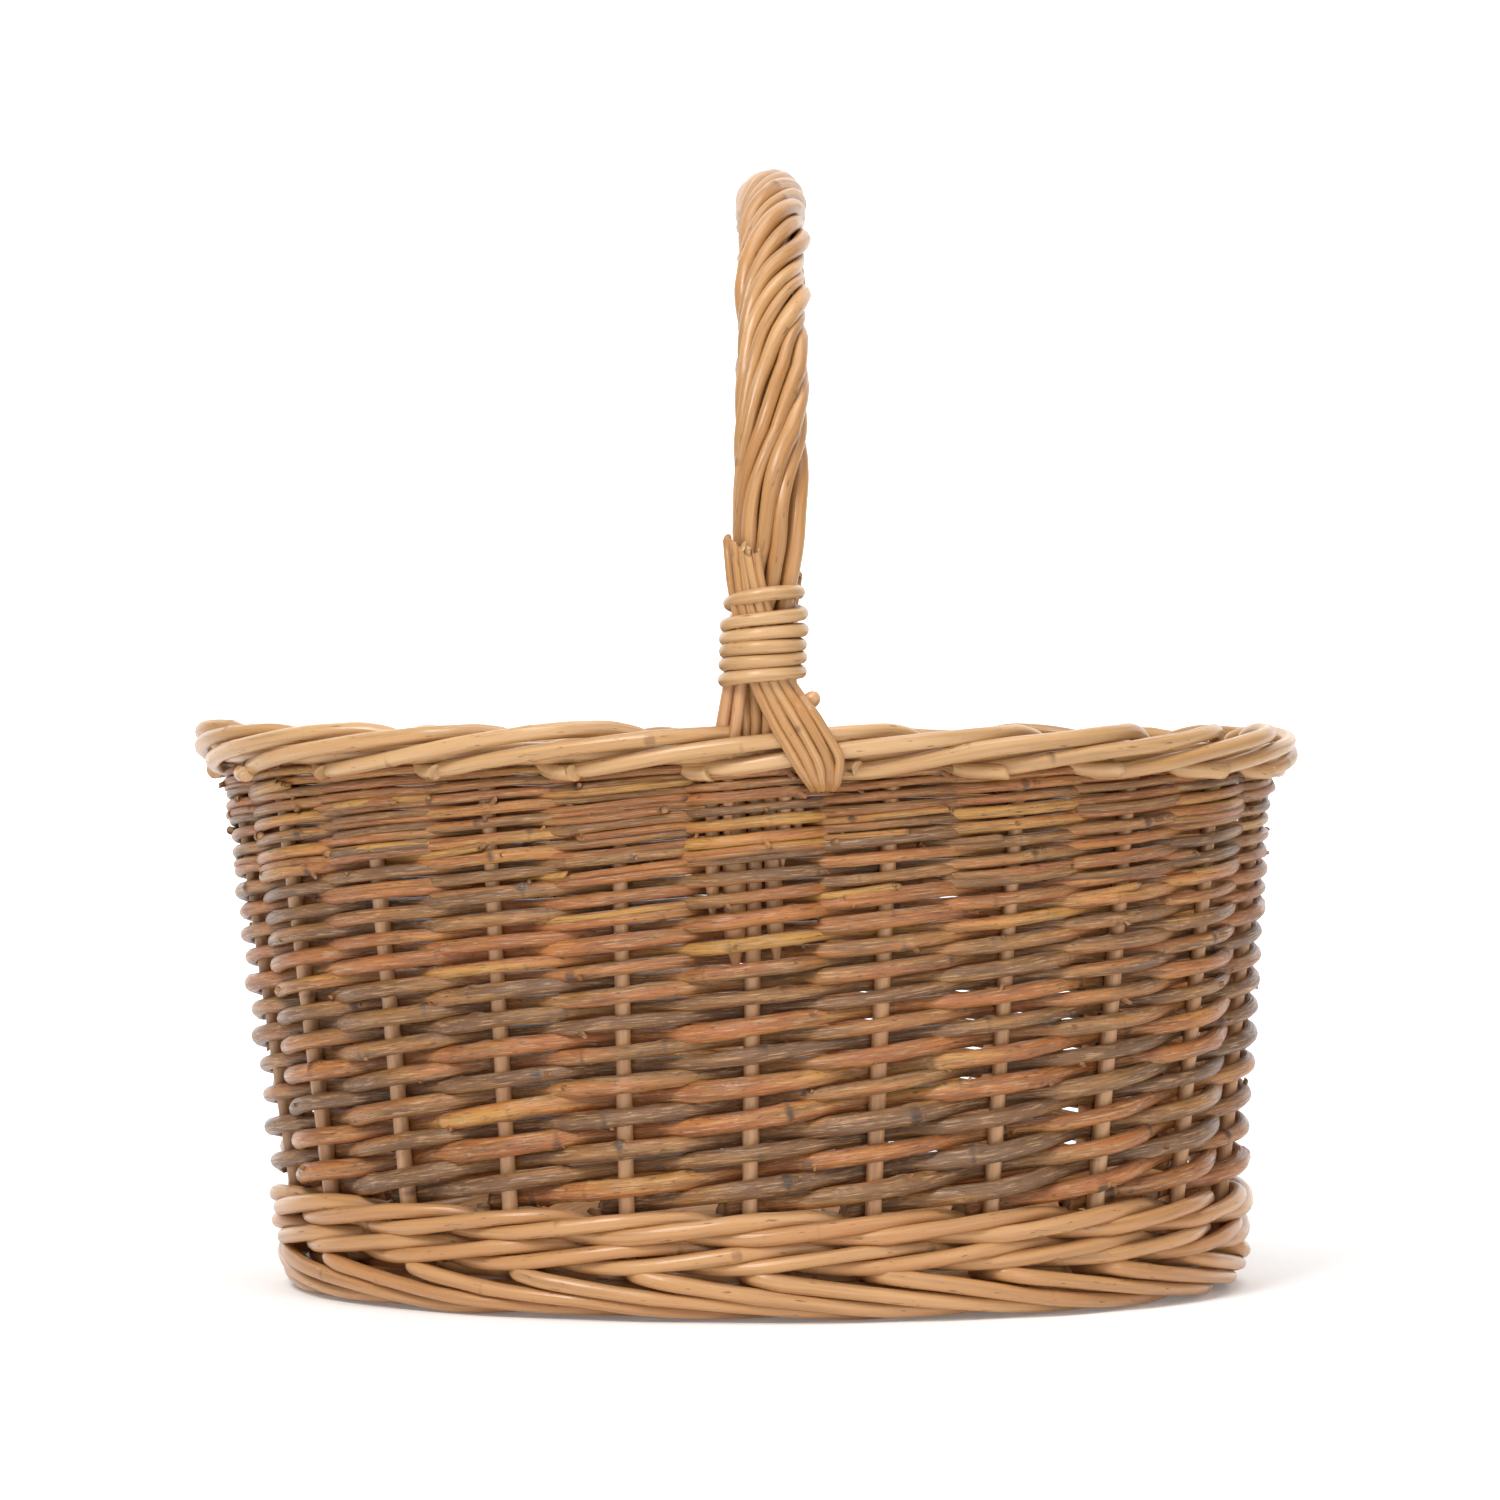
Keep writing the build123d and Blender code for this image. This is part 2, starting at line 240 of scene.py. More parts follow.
class Rod:
    """One willow rod: a path, its radius along it, its tone, its knots, and how its ends are cut."""

    def __init__(
        self, path, radius, luck, *,
        tone=None, knots=70.0, knot_size=1.0, cuts=(0.3, 0.3), sides=ROUND, up=UP,
    ):
        self.path, self.luck, self.sides, self.up = np.asarray(path, float), luck, sides, up
        self.radius = np.broadcast_to(np.asarray(radius, float), len(self.path))
        self.tone = luck.uniform() if tone is None else tone
        self.cuts, self.knot_size = cuts, knot_size
        self.along = np.concatenate([[0], np.cumsum(np.linalg.norm(np.diff(self.path, axis=0), axis=1))])
        self.tangent = np.gradient(self.path, axis=0)
        self.tangent /= np.linalg.norm(self.tangent, axis=1, keepdims=True)
        self.side = np.cross(self.tangent, up)
        self.side /= np.linalg.norm(self.side, axis=1, keepdims=True)
        self.over = np.cross(self.side, self.tangent)
        places = np.arange(luck.uniform(5, knots), self.along[-1] - 3, knots) if knots else np.zeros(0)
        self.knot_place = places + luck.uniform(-0.3, 0.3, len(places)) * (knots or 0)
        self.knot_turn = np.arange(len(places)) * TURN * 0.4 + luck.uniform(0, TURN) + luck.normal(0, 0.5, len(places))
        self.knot_strength = luck.uniform(0.3, 1.0, len(places))

    def surface(self):
        """Rings of points and how knotty each point is.

        A ring is the rod's radius times cosine and sine of the angle round it, across the path. Each
        knot is a bell-shaped ring at one place along the rod, higher on one side of it."""
        angle = np.arange(self.sides) / self.sides * TURN
        radius = self.radius[:, None] * (1 + 0.03 * drift(self.along, 40, self.luck))[:, None]
        radius = radius * (1 + 0.025 * drift(angle[None] * 9 + self.along[:, None] * 0.12, 25, self.luck))
        knotty = np.zeros_like(radius)
        for place, turn, strong in zip(self.knot_place, self.knot_turn, self.knot_strength):
            near = np.exp(-(((self.along - place) / 2.2) ** 2))[:, None]
            facing = np.exp((np.cos(angle - turn) - 1) * 3.0)[None]
            knotty = np.maximum(knotty, near * (0.45 + 0.55 * facing) * strong)
            radius = radius + near * (0.10 + 0.26 * facing) * strong * self.knot_size * self.radius[:, None]
        across = np.cos(angle)[None, :, None] * self.over[:, None] + np.sin(angle)[None, :, None] * self.side[:, None]
        points = self.path[:, None] + radius[..., None] * across
        for ring, cut, sign in ((0, self.cuts[0], -1), (-1, self.cuts[1], 1)):
            lean = self.luck.uniform(0, TURN)
            shift = sign * cut * self.radius[ring] * (np.cos(angle - lean) - 1)
            points[ring] += shift[:, None] * self.tangent[ring]
        return points, knotty

    def twigs(self, share, outwards):
        """Snapped side twigs, straight out of some knots on the outside and leaning the rod's way."""
        found = []
        for place, turn, strong in zip(self.knot_place, self.knot_turn, self.knot_strength):
            i = min(int(np.searchsorted(self.along, place)), len(self.path) - 1)
            away = math.cos(turn) * self.over[i] + math.sin(turn) * self.side[i]
            if strong < 1 - share or away @ outwards[i] < 0.15:
                continue
            reach = self.radius[i] * 0.5 + np.linspace(0, self.luck.uniform(1.4, 4.0), 5)[:, None]
            lean = self.luck.uniform(0.3, 1.1)
            path = self.path[i] + reach * away + reach * lean * self.tangent[i]
            thick = self.luck.uniform(0.75, 1.15) * np.array([1.35, 1.1, 1.0, 0.95, 0.9])
            up = self.over[i] * 0.3 + self.side[i]
            found.append(Rod(path, thick, self.luck, tone=self.tone, knots=0, cuts=(0, 0.8), sides=7, up=up))
        return found

    def grid(self):
        """Vertices, quads and end fans, with corner places on the bark and values for the shader."""
        points, knotty = self.surface()
        along = self.along
        rings, sides = points.shape[:2]
        ends = np.stack([points[0].mean(0), points[-1].mean(0)])
        verts = np.concatenate([points.reshape(-1, 3), ends])
        i = np.arange(rings - 1)[:, None] * sides
        k, k1 = np.arange(sides), (np.arange(sides) + 1) % sides
        quads = np.stack([i + k, i + sides + k, i + sides + k1, i + k1], -1).reshape(-1, 4)
        first = np.stack([np.full(sides, rings * sides), k, k1], -1)
        last = np.stack([np.full(sides, rings * sides + 1), (rings - 1) * sides + k1, (rings - 1) * sides + k], -1)
        start = self.luck.uniform(0, 5000)
        u0 = np.broadcast_to(np.arange(sides) / sides, (rings - 1, sides))
        u1 = u0 + 1 / sides
        v0 = np.broadcast_to((along[:-1, None] + start) * METRE, u0.shape)
        v1 = np.broadcast_to((along[1:, None] + start) * METRE, u0.shape)
        pairs = ((u0, v0), (u0, v1), (u1, v1), (u1, v0))
        corners = np.stack([np.stack(pair, -1) for pair in pairs], 2)
        fan = np.stack([0.5 + 0 * k, k / sides, (k + 1) / sides], -1)
        first_fan = np.stack([fan, np.full_like(fan, start * METRE)], -1)
        last_fan = np.stack([fan[:, [0, 2, 1]], np.full_like(fan, (start + along[-1]) * METRE)], -1)
        fans = np.concatenate([first_fan, last_fan])
        values = {
            "knot": np.concatenate([knotty.ravel(), [0, 0]]),
            "tone": np.full(len(verts), self.tone),
            "thin": np.concatenate([np.repeat(np.linspace(0, 1, rings), sides), [0, 1]]),
            "cut": np.concatenate([np.zeros(rings * sides), [1, 1]]),
        }
        return verts, quads, np.concatenate([first, last]), corners.reshape(-1, 2), fans.reshape(-1, 2), values


def add_piece(name, rods, material, slot, *nodes):
    """One piece made of rods: their grids joined into one mesh, riding on the basket's only body."""
    verts, quads, fans, quad_uv, fan_uv, values = [], [], [], [], [], {}
    base = 0
    for rod in rods:
        v, q, f, cq, cf, some = rod.grid()
        verts.append(v)
        quads.append(q + base)
        fans.append(f + base)
        quad_uv.append(cq)
        fan_uv.append(cf)
        for key, value in some.items():
            values.setdefault(key, []).append(value)
        base += len(v)
    verts, quads, fans = np.concatenate(verts) * METRE, np.concatenate(quads), np.concatenate(fans)
    mesh = bpy.data.meshes.new(name)
    mesh.vertices.add(len(verts))
    mesh.vertices.foreach_set("co", verts.ravel())
    mesh.loops.add(quads.size + fans.size)
    mesh.loops.foreach_set("vertex_index", np.concatenate([quads.ravel(), fans.ravel()]).astype(np.int32))
    starts = np.concatenate([np.arange(len(quads)) * 4, quads.size + np.arange(len(fans)) * 3]).astype(np.int32)
    mesh.polygons.add(len(starts))
    mesh.polygons.foreach_set("loop_start", starts)
    uv = mesh.uv_layers.new(name="bark")
    uv.data.foreach_set("uv", np.concatenate(quad_uv + fan_uv).ravel())
    for key, value in values.items():
        mesh.attributes.new(key, "FLOAT", "POINT").data.foreach_set("value", np.concatenate(value))
    sharp = mesh.attributes.new("sharp_face", "BOOLEAN", "FACE")
    sharp.data.foreach_set("value", np.arange(len(starts)) >= len(quads))
    mesh.update(calc_edges=True)
    mesh.validate()
    mesh.materials.append(material)
    piece = bpy.data.objects.new(name, mesh)
    bpy.context.scene.collection.objects.link(piece)
    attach(piece, "root")
    if nodes:
        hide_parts(*nodes)
    return piece


# ---------------------------------------------------------------- materials
class Finish:
    """A material and short ways to add its nodes."""

    def __init__(self, name):
        self.material = bpy.data.materials.new(name)
        self.material.use_nodes = True
        self.tree = self.material.node_tree
        self.shader = self.tree.nodes["Principled BSDF"]

    def node(self, kind, settings=(), **inputs):
        """A node with its settings, and its inputs by name with _ for a space."""
        node = self.tree.nodes.new(kind)
        for key, value in dict(settings).items():
            setattr(node, key, value)
        for key, value in inputs.items():
            self.put(node.inputs[key.replace("_", " ")], value)
        return node

    def put(self, socket, value):
        """Links an output to a socket, or sets the socket to a constant."""
        if isinstance(value, bpy.types.NodeSocket):
            self.tree.links.new(value, socket)
        else:
            socket.default_value = value

    def math(self, operation, a, b=0.0, c=0.0):
        node = self.tree.nodes.new("ShaderNodeMath")
        node.operation = operation
        for socket, value in zip(node.inputs, (a, b, c)):
            self.put(socket, value)
        return node.outputs[0]

    def mix(self, share, a, b, blend="MIX"):
        node = self.tree.nodes.new("ShaderNodeMix")
        node.data_type, node.blend_type = "RGBA", blend
        self.put(node.inputs[0], share)
        self.put(node.inputs[6], a)
        self.put(node.inputs[7], b)
        return node.outputs[2]

    def span(self, value, low, high, to_low=0.0, to_high=1.0):
        """The straight line that takes low to to_low and high to to_high, held level beyond them."""
        node = self.tree.nodes.new("ShaderNodeMapRange")
        for socket, number in zip(node.inputs, (value, low, high, to_low, to_high)):
            self.put(socket, number)
        return node.outputs[0]

    def value(self, name):
        node = self.node("ShaderNodeAttribute", {"attribute_name": name})
        return node.outputs["Fac"]

    def noise(self, vector, scale, detail=3.0, rough=0.55):
        node = self.node("ShaderNodeTexNoise", Vector=vector, Scale=scale, Detail=detail, Roughness=rough)
        return node.outputs["Fac"]

    def ramp(self, value, stops):
        node = self.tree.nodes.new("ShaderNodeValToRGB")
        self.put(node.inputs[0], value)
        elements = node.color_ramp.elements
        while len(elements) < len(stops):
            elements.new(0.5)
        for element, (place, colour) in zip(elements, stops):
            element.position, element.color = place, (*colour, 1)
        return node.outputs[0]


def bark_vectors(finish):
    """Coordinates that run round and along a rod: (cos, sin) of the angle round it, and length in
    metres, once stretched for lengthwise streaks and once for blotches."""
    place = finish.node("ShaderNodeUVMap", {"uv_map": "bark"})
    parts = finish.node("ShaderNodeSeparateXYZ", Vector=place.outputs[0])
    angle = finish.math("MULTIPLY", parts.outputs[0], TURN)
    c, s = finish.math("COSINE", angle), finish.math("SINE", angle)
    length = parts.outputs[1]

    def vector(round_scale, along_scale):
        return finish.node(
            "ShaderNodeCombineXYZ",
            X=finish.math("MULTIPLY", c, round_scale),
            Y=finish.math("MULTIPLY", s, round_scale),
            Z=finish.math("MULTIPLY", length, along_scale),
        ).outputs[0]

    return vector


def brown_bark():
    """Unpeeled willow under varnish: a bark colour of its own for each rod, that drifts along it,
    with lengthwise wrinkles, pale streaks that are painted highlights of the varnish, and dark rings at the knots."""
    f = Finish("brown_willow_bark")
    vector = bark_vectors(f)
    streak = f.noise(vector(1.7, 38.0), 1.0, 4.0, 0.62)
    fine = f.noise(vector(4.2, 105.0), 1.0, 3.0, 0.62)
    blotch = f.noise(vector(0.45, 13.0), 1.0, 3.0, 0.55)
    flecks = f.noise(vector(3.0, 240.0), 1.0, 2.0, 0.5)
    tone, thin, knot = f.value("tone"), f.value("thin"), f.value("knot")
    hue = f.math("ADD", tone, f.span(blotch, 0.3, 0.7, -0.32, 0.32))
    hue = f.math("ADD", hue, f.span(thin, 0.3, 1.0, 0.0, 0.20))
    bark = f.ramp(hue, [
        (0.0, (0.200, 0.100, 0.044)),
        (0.14, (0.190, 0.082, 0.028)),
        (0.28, (0.300, 0.142, 0.040)),
        (0.42, (0.390, 0.158, 0.042)),
        (0.58, (0.375, 0.118, 0.030)),
        (0.74, (0.440, 0.160, 0.036)),
        (1.0, (0.520, 0.260, 0.055)),
    ])
    bark = f.mix(f.span(streak, 0.42, 0.68, 0.0, 0.68), bark, (0.100, 0.050, 0.023, 1))
    # painted highlight: pale lengthwise streaks in the base colour stand in for glints on the varnish
    bark = f.mix(f.span(fine, 0.53, 0.70, 0.0, 0.66), bark, (0.60, 0.37, 0.18, 1))
    bark = f.mix(f.span(flecks, 0.60, 0.71, 0.0, 0.62), bark, (0.060, 0.030, 0.016, 1))
    broken = f.math("MULTIPLY", f.span(knot, 0.28, 0.60, 0.0, 0.92), f.span(fine, 0.38, 0.56, 0.45, 1.0))
    bark = f.mix(broken, bark, (0.048, 0.024, 0.014, 1))
    bark = f.mix(f.span(f.value("cut"), 0.2, 0.6), bark, (0.42, 0.25, 0.12, 1))
    f.put(f.shader.inputs["Base Color"], bark)
    f.put(f.shader.inputs["Roughness"], f.span(streak, 0.3, 0.7, 0.32, 0.55))
    f.shader.inputs["Specular IOR Level"].default_value = 0.35
    f.shader.inputs["Coat Weight"].default_value = 0.45
    f.shader.inputs["Coat Roughness"].default_value = 0.20
    height = f.math("ADD", f.math("MULTIPLY", streak, 0.7), f.math("MULTIPLY", fine, 0.6))
    height = f.math("ADD", height, f.math("MULTIPLY", flecks, 0.15))
    bump = f.node("ShaderNodeBump", Height=height, Strength=0.85, Distance=0.0011)
    f.put(f.shader.inputs["Normal"], bump.outputs[0])
    f.put(f.shader.inputs["Coat Normal"], bump.outputs[0])
    return f.material


def buff_willow(name, pale, warm, spots=1.0):
    """Boiled and peeled willow under varnish: honey colour, lengthwise grain, small brown bud scars,
    and a redder stain here and there."""
    f = Finish(name)
    vector = bark_vectors(f)
    grain = f.noise(vector(1.3, 15.0), 1.0, 4.0, 0.6)
    fine = f.noise(vector(5.0, 60.0), 1.0, 3.0, 0.55)
    blotch = f.noise(vector(0.35, 8.0), 1.0, 3.0, 0.55)
    specks = f.noise(vector(2.3, 150.0), 1.0, 2.0, 0.5)
    tone, knot = f.value("tone"), f.value("knot")
    warmth = f.math("ADD", f.math("MULTIPLY", tone, 0.55), f.span(blotch, 0.3, 0.7, -0.25, 0.65))
    wood = f.mix(warmth, (*pale, 1), (*warm, 1))
    wood = f.mix(f.span(grain, 0.46, 0.74, 0.0, 0.62), wood, tuple(v * 0.50 for v in warm) + (1,))
    wood = f.mix(f.span(fine, 0.55, 0.78, 0.0, 0.35), wood, tuple(min(1, v * 1.3) for v in pale) + (1,))
    wood = f.mix(f.span(specks, 0.67, 0.74, 0.0, 0.70 * spots), wood, (0.150, 0.062, 0.025, 1))
    wood = f.mix(f.span(knot, 0.35, 0.75, 0.0, 0.75), wood, (0.130, 0.058, 0.026, 1))
    wood = f.mix(f.span(f.value("cut"), 0.2, 0.6, 0.0, 0.7), wood, (0.47, 0.29, 0.14, 1))
    f.put(f.shader.inputs["Base Color"], wood)
    f.put(f.shader.inputs["Roughness"], f.span(grain, 0.3, 0.75, 0.28, 0.46))
    f.shader.inputs["Specular IOR Level"].default_value = 0.4
    f.shader.inputs["Coat Weight"].default_value = 0.28
    f.shader.inputs["Coat Roughness"].default_value = 0.22
    height = f.math("ADD", f.math("MULTIPLY", grain, 0.8), f.math("MULTIPLY", fine, 0.35))
    bump = f.node("ShaderNodeBump", Height=height, Strength=0.45, Distance=0.0006)
    f.put(f.shader.inputs["Normal"], bump.outputs[0])
    f.put(f.shader.inputs["Coat Normal"], bump.outputs[0])
    return f.material


# ---------------------------------------------------------------- siding
STRAY_TIPS = 58


def row_height(row):
    """Height of a rand's row: rows 6.8 mm apart at the foot, closing up as the rods get thinner."""
    return 50.0 + 6.776 * row - 0.0701 * row**2


def handle_nearness(stake, z):
    """1 beside the two handle stakes above the tips of the leg rods, fading to 0 half a bay away."""
    off = np.abs((stake + STAKES / 4) % (STAKES / 2) - STAKES / 4)
    return np.exp(-((off / 0.55) ** 4)) * np.clip((z - 118) / 12, 0, 1)


def siding_line(number, row, radius, sway, luck):
    """Path of a rand's rod over rows of its climb: its distance from the stakes' middles is a cosine
    of the row, in front of its own stake and behind the next. It climbs more steeply in front than
    behind, by a sine of the row. Beside the handle it passes the whole bundle, with a flatter top to
    the cosine."""
    stake = number + row
    z = row_height(row)
    stiff = radius / 3.6
    steeper = 0.3 + 0.018 * row + 0.4 * stiff * drift(row, 4.5, luck)
    z = z + (0.75 * sway(stake, z) + 0.4 * drift(row, 3.6, luck)) * stiff + steeper * np.sin(math.pi * row)
    near = handle_nearness(stake, z)
    reach = 0.9 * (STAKE_RADIUS * (1 - 0.12 * z / WALL_TOP) + radius) + 2.4 * near
    swing = np.cos(math.pi * row)
    swing = swing * (1 + near * (1 - swing**2))
    return stake, reach * swing * (1 + 0.06 * drift(row, 3.1, luck)), z


def outward_at(stake, z):
    """Level directions straight out of the wall."""
    return on_wall(stake, 1, z) - on_wall(stake, 0, z)


def siding_rod(number, sway):
    """One rod of the French rand, with the snapped twigs at its knots."""
    luck = np.random.default_rng(100 + number)
    row = np.arange(-1.28, luck.uniform(35.8, 37.6), 1 / 18)
    thick = luck.uniform(0.88, 1.12)
    radius = (3.62 - 0.055 * row) * thick * (1 + 0.07 * drift(row, 5, luck))
    stake, out, z = siding_line(number, row, radius, sway, luck)
    path, tone = on_wall(stake, out, z), luck.uniform(0.10, 0.80)
    rod = Rod(path, radius, luck, tone=tone, knots=40.0, cuts=(0.6, 1.2), sides=12)
    return [rod] + rod.twigs(0.8, outward_at(stake, z))


def stray_tip(place, sway):
    """A thin end laid in over another rod for two or three bays, with its tip standing out."""
    luck = np.random.default_rng(4000 + place)
    first, number = luck.uniform(19, 33), luck.integers(0, STAKES)
    first = 2 * np.floor(first / 2) + luck.uniform(-0.75, -0.3)
    row = np.arange(first, first + luck.uniform(1.3, 3.3), 1 / 18)
    radius = luck.uniform(1.1, 1.7) * np.ones(len(row))
    stake, out, z = siding_line(number, row, radius + 1.0, sway, np.random.default_rng(100 + number))
    left = (row[-1] - row) * BAY
    out = out + 1.2 + luck.uniform(0.5, 2.6) * np.exp(-((left / 9) ** 2))
    z = z + luck.uniform(1.6, 2.8) + luck.uniform(-1.0, 1.8) * np.exp(-((left / 16) ** 2))
    return Rod(on_wall(stake, out, z), radius, luck, tone=luck.uniform(0.1, 0.9), knots=45.0, cuts=(0.6, 1.5), sides=8)


def add_siding(bark):
    """Twenty-two rods, one to a bay, kept in pairs, and the stray tips near the top."""
    def sway(stake, z):
        return closed_drift(stake % STAKES, z, np.random.default_rng(77))

    for pair in range(STAKES // 2):
        rods = siding_rod(2 * pair, sway) + siding_rod(2 * pair + 1, sway)
        nodes = ("siding_weave",) if pair == 0 else ()
        add_piece(f"siding_rods_{2 * pair + 1:02d}_{2 * pair + 2:02d}", rods, bark, "siding_rods", *nodes)
    add_piece("siding_stray_tips", [stray_tip(k, sway) for k in range(STRAY_TIPS)], bark, "siding_rods")


# ---------------------------------------------------------------- wale
WALE_PHASE = np.array([0, 0.5, 1, 1.5, 2, 2.5])
WALE_OUT = np.array([-6.4, 0.5, 7.2, 8.6, 7.2, 0.8])
WALE_RISE = np.array([0.0, -3.2, -3.0, -0.3, 2.6, 3.2])
WALE_JOINS = (5, 17, 29, 41, 50, 62, 71)  # all behind a stake, two thirds of the way through a stroke


def wale_rod(level, start, finish, shift, luck):
    """A rod of three-rod wale: behind one stake, in front of two, rising as it crosses them. Its ends
    lie against the next rod's, inside."""
    stake = np.arange(start - 0.35, finish + 0.35, 1 / 18)
    laps = np.concatenate([WALE_PHASE - 3, WALE_PHASE, WALE_PHASE + 3, WALE_PHASE[:1] + 6])
    out, rise = (np.concatenate([v, v, v, v[:1]]) for v in (WALE_OUT, WALE_RISE))
    phase = (stake - shift) % 3
    z = level + through(phase, laps, rise) + 0.5 * drift(stake, 3.4, luck)
    reach = through(phase, laps, out) * (1 + 0.05 * drift(stake, 2.7, luck))
    ending = np.exp(-(((stake - start) / 0.5) ** 2)) - np.exp(-(((finish - stake) / 0.5) ** 2))
    z, reach = z + 1.4 * ending, reach - 1.5 * np.abs(ending)
    radius = 3.1 * luck.uniform(0.90, 1.08) * (1 + 0.04 * drift(stake, 5, luck))
    return Rod(on_wall(stake, reach, z), radius, luck, knots=85.0, knot_size=0.45, cuts=(0.5, 0.9), sides=12)


def add_wales(willow):
    """Two rounds of wale, each three laps of rods that are joined behind a stake."""
    for name, level, shift, seed in (("lower_wale", 24.0, 0, 300), ("upper_wale", 34.9, 1, 301)):
        luck = np.random.default_rng(seed)
        joins = np.array(WALE_JOINS) + 1 + shift
        rods = [wale_rod(level, a, b, shift, luck) for a, b in zip(joins[:-1], joins[1:])]
        add_piece(name + "_rods", rods, willow, "wale", name)


# ---------------------------------------------------------------- foot border
FOOT_STATIONS = np.array([  # stakes along, out, height
    (-0.03, -13.0, 15.2), (0.00, -6.0, 16.6), (0.03, 1.5, 17.3), (0.10, 6.6, 17.1), (0.24, 8.5, 15.8),
    (0.60, 8.8, 13.3), (1.00, 8.5, 10.7), (1.50, 7.8, 7.8), (2.00, 6.2, 5.3), (2.50, 3.4, 3.8),
    (2.90, -1.0, 3.5), (3.30, -7.0, 3.9),
])


def along_stations(stations, step):
    """A smooth curve through stations (stakes along, out, height), at even steps of length."""
    gaps = np.linalg.norm(np.diff(stations * (BAY, 1, 1), axis=0), axis=1)
    knots = np.concatenate([[0], np.cumsum(gaps)])
    at = np.arange(0, knots[-1], step)
    return at, through(at, knots, stations)


def foot_rod(number):
    """A foot border rod: out between the stakes under the wale, a sharp knee, then down to the right
    over two and a half stakes and in under the base."""
    luck = np.random.default_rng(500 + number)
    at, where = along_stations(FOOT_STATIONS, 2.2)
    stake, out, z = where.T
    radius = (3.5 - 0.003 * at) * luck.uniform(0.90, 1.04) * np.clip(1.06 - at / 400, 0.9, 1.1)
    settle = np.clip(at / 30, 0, 1)
    z = np.maximum(z + 0.55 * drift(at, 110, luck) * settle, radius * 1.04)
    out = out + 0.6 * drift(at, 80, luck) * settle
    path = on_wall(number + 0.03 * luck.normal() + stake, out, z)
    return Rod(path, radius, luck, knots=75.0, knot_size=0.4, sides=12)


def add_foot(willow):
    """The twenty-two foot rods, and two level laps of rod behind them, between the foot and the base."""
    lap = np.arange(0, STAKES + 0.4, 1 / 14)
    luck = np.random.default_rng(541)
    inner = [
        Rod(on_wall(lap, out, z + 0.3 * drift(lap, 5, luck)), radius, luck, tone=0.4, knots=90.0, knot_size=0.3)
        for out, z, radius in ((-3.0, 10.2, 4.0), (-11.0, 13.4, 4.2))
    ]
    add_piece("foot_border_rods", [foot_rod(k) for k in range(STAKES)] + inner, willow, "foot_border", "foot_border")


# ---------------------------------------------------------------- stakes and top border
def stake_path(number):
    """A stake: level butt in the base, a rounded bend, and the straight run up the wall."""
    foot = on_wall(number, 0, BASE_LEVEL)
    angle = float(oval_angle(number, BASE_LEVEL))
    if abs(math.sin(angle)) > 0.6:
        inwards = np.array([0, -math.copysign(1, foot[1]), 0])
    else:
        inwards = np.array([-math.copysign(1, math.cos(angle)), 0, 0])
    butt = foot + inwards * np.linspace(BUTT_LENGTH, BUTT_BEND, 6)[:, None]
    z = np.linspace(BASE_LEVEL + BUTT_BEND, WALL_TOP - 2, 70)
    wall = on_wall(number, 0.0, z)
    t = np.linspace(0, 1, 9)[1:-1, None]
    bend = (1 - t) ** 2 * butt[-1] + 2 * t * (1 - t) * foot + t**2 * wall[0]
    return np.concatenate([butt, bend, wall])


def add_stakes(willow):
    """Twenty-two stakes that get thinner by an eighth in a straight line up the wall."""
    for number in range(STAKES):
        luck = np.random.default_rng(700 + number)
        path = stake_path(number)
        thick = 1.16 if number == THICK_STAKE else luck.uniform(1.02, 1.12)
        radius = STAKE_RADIUS * thick * (1 - 0.12 * np.clip(path[:, 2] / WALL_TOP, 0, 1))
        angle = float(oval_angle(number, 100))
        up = np.array([-math.sin(angle), math.cos(angle), 0.0])
        rod = Rod(path, radius, luck, tone=luck.uniform(0, 0.6), knots=80.0, knot_size=0.4, up=up)
        add_piece(f"stake_{number + 1:02d}_rod", [rod], willow, "stakes", f"stake_{number + 1:02d}")


BORDER_STATIONS = np.array([  # stakes along, out, height
    (0.00, 0.0, 190.0), (0.00, 0.0, 198.0), (0.07, -1.2, 204.8), (0.35, -4.6, 210.4), (0.95, -8.0, 213.6),
    (1.30, -6.0, 209.4), (1.55, 0.0, 205.0), (1.80, 6.4, 205.0), (2.10, 9.8, 207.2), (2.50, 11.2, 210.5),
    (3.00, 11.4, 214.2), (3.40, 10.0, 217.0), (3.75, 5.5, 218.8), (4.00, -1.0, 219.1), (4.20, -5.6, 216.2),
    (4.34, -5.0, 209.5), (4.50, 1.0, 205.2), (4.72, 8.2, 204.3), (4.96, 11.2, 203.6),
])
LOOSE_ROD = 13  # stands out in a loop at the left end


def border_rod(number):
    """A stake rolled into the three-rod border: it bends to the right behind the next stake, comes out
    low, rises in front of two more, goes in over the top behind another, and its end comes out under
    the border. The loose rod stands out and up in a bell-shaped loop."""
    luck = np.random.default_rng(900 + number)
    at, where = along_stations(BORDER_STATIONS, 2.4)
    kept = len(at) - luck.integers(0, 6)
    at, (stake, out, z) = at[:kept], where[:kept].T
    settle = np.clip((at - 8) / 40, 0, 1)
    z = z + 0.75 * drift(at, 120, luck) * settle
    out = out + 0.7 * drift(at, 90, luck) * settle
    z = z - luck.uniform(0.0, 1.2) * np.exp(-(((at[-1] - at) / 16) ** 2))
    if number == LOOSE_ROD:
        loose = np.exp(-(((stake - 3.5) / 0.55) ** 2))
        out, z = out + 3.6 * loose, z + 2.4 * loose
    radius = (3.35 - 0.0012 * at) * luck.uniform(0.92, 1.06)
    upright = np.clip((206 - z) / 5, 0, 1) * (stake < 0.5)
    up = upright[:, None] * outward_at(number + stake, z) + (1 - upright[:, None]) * UP
    path = on_wall(number + stake, out, z)
    return Rod(path, radius, luck, knots=85.0, knot_size=0.45, cuts=(0.0, 0.5), sides=12, up=up)


